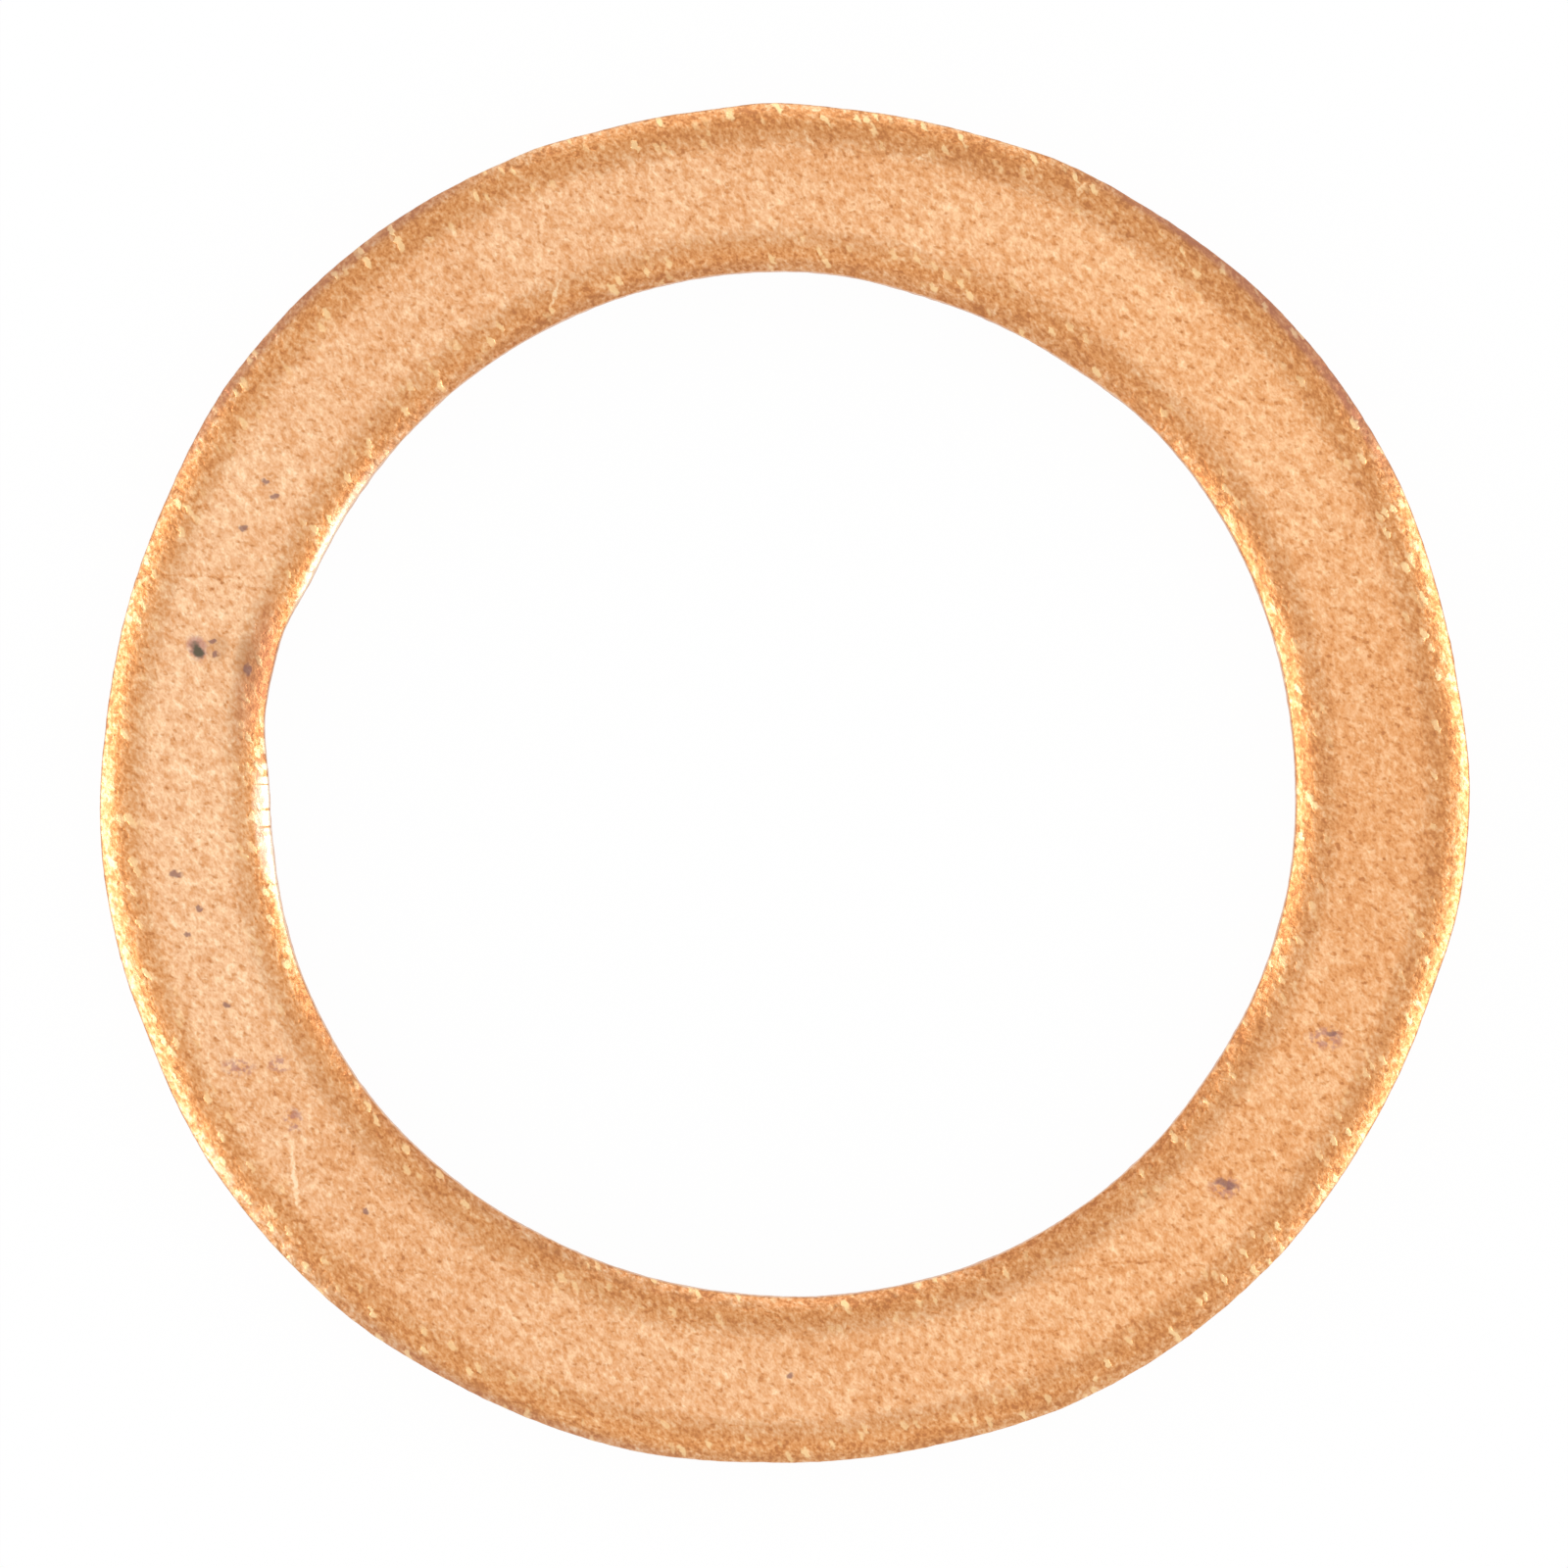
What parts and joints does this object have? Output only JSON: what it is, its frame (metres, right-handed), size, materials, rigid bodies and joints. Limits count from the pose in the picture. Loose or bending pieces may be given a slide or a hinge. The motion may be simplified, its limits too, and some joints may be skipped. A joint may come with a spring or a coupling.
{
  "type": "copper crush washer",
  "caption": "Flat solid copper sealing ring, stamped with rolled upper edges, that is crushed under a drain plug or banjo bolt to make the joint tight.",
  "frame": {"origin": "centre of the bore on the lower face, which the washer lies on", "axes": "+Z along the bore axis, from the torn lower face to the rolled upper face; X and Y are free, and +X points right and +Y up in the picture"},
  "size_m": [0.016, 0.016, 0.0015],
  "materials": {
    "copper": "soft annealed copper, tumbled to a fine matte grain, with fine scratches and a few dark spots"
  },
  "bodies": {
    "root": {"washer": "copper"}
  },
  "joints": []
}
